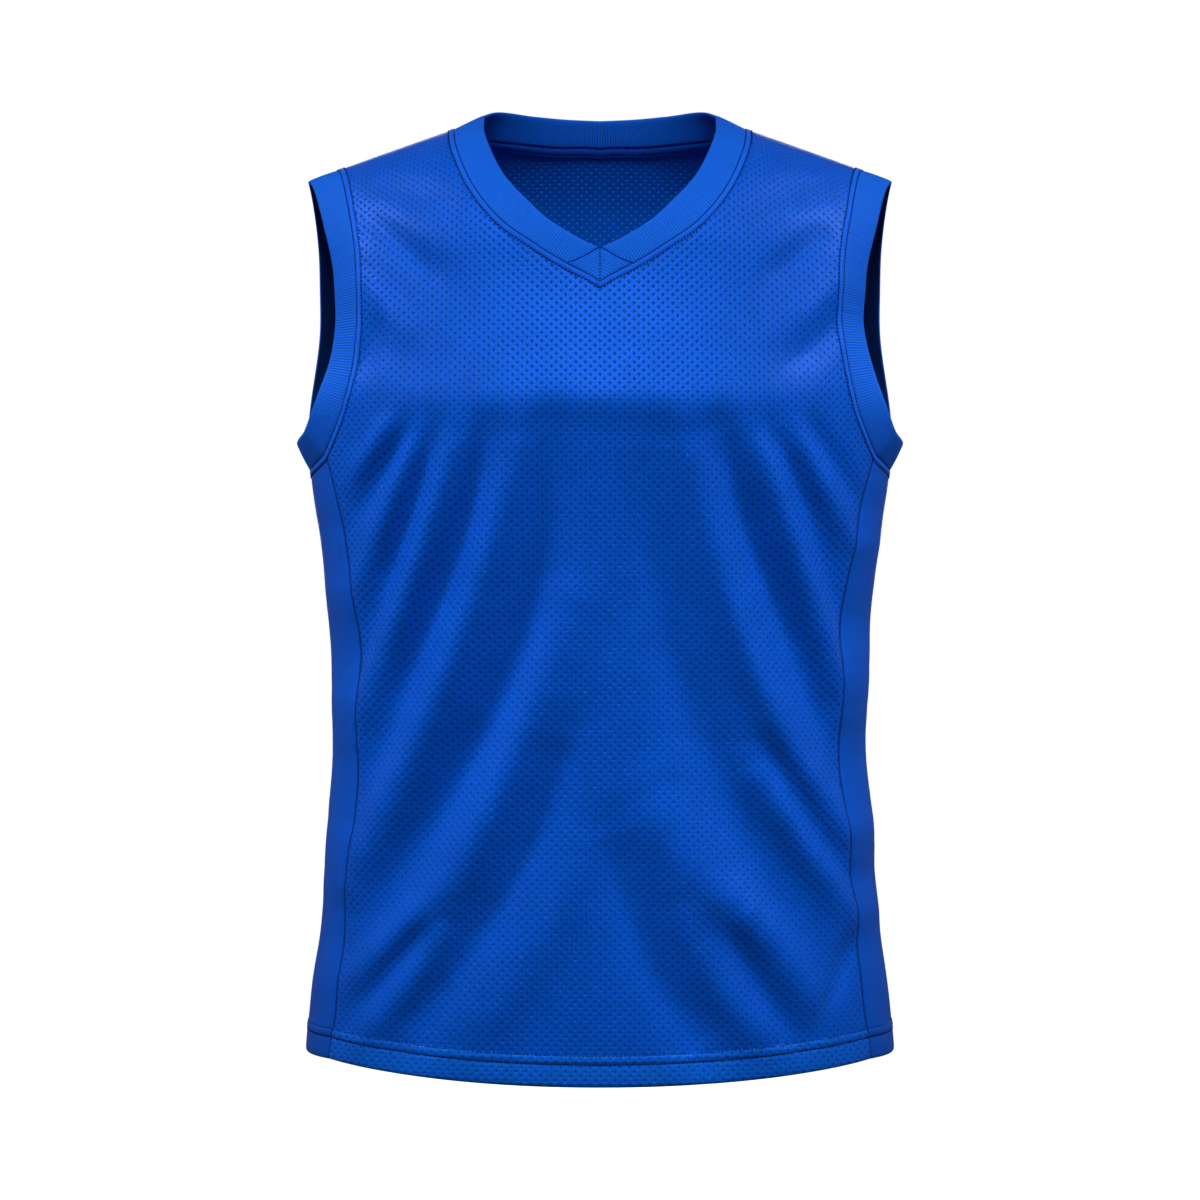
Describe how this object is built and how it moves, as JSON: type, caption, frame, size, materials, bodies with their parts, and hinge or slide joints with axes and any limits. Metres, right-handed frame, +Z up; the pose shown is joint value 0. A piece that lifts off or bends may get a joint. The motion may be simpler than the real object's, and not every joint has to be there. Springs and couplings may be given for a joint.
{
  "type": "sleeveless flag football jersey",
  "caption": "Sleeveless V-necked sports jersey of perforated mesh knit, shown filled out as worn and open at the neck, armholes and hem.",
  "frame": {"origin": "midway between the two points where the shoulder seams meet the neck band, where a wearer's shoulders hold the jersey", "axes": "+Z up along the jersey's length, +X to the wearer's left, and the front faces -Y"},
  "size_m": [0.4478, 0.2344, 0.7079],
  "materials": {
    "mesh_knit": "satin",
    "plain_knit": "satin",
    "rib_knit": "matte",
    "seam_tape": "matte"
  },
  "bodies": {
    "root": {"front_panel": "mesh_knit", "back_panel": "mesh_knit", "side_panel_left": "plain_knit", "side_panel_right": "plain_knit", "neck_band": "rib_knit", "v_mitre_left": "rib_knit", "v_mitre_right": "rib_knit", "armhole_band_left": "rib_knit", "armhole_band_right": "rib_knit", "hem_front": "mesh_knit", "hem_back": "mesh_knit", "hem_side_left": "plain_knit", "hem_side_right": "plain_knit", "back_neck_tape": "seam_tape"}
  },
  "joints": []
}
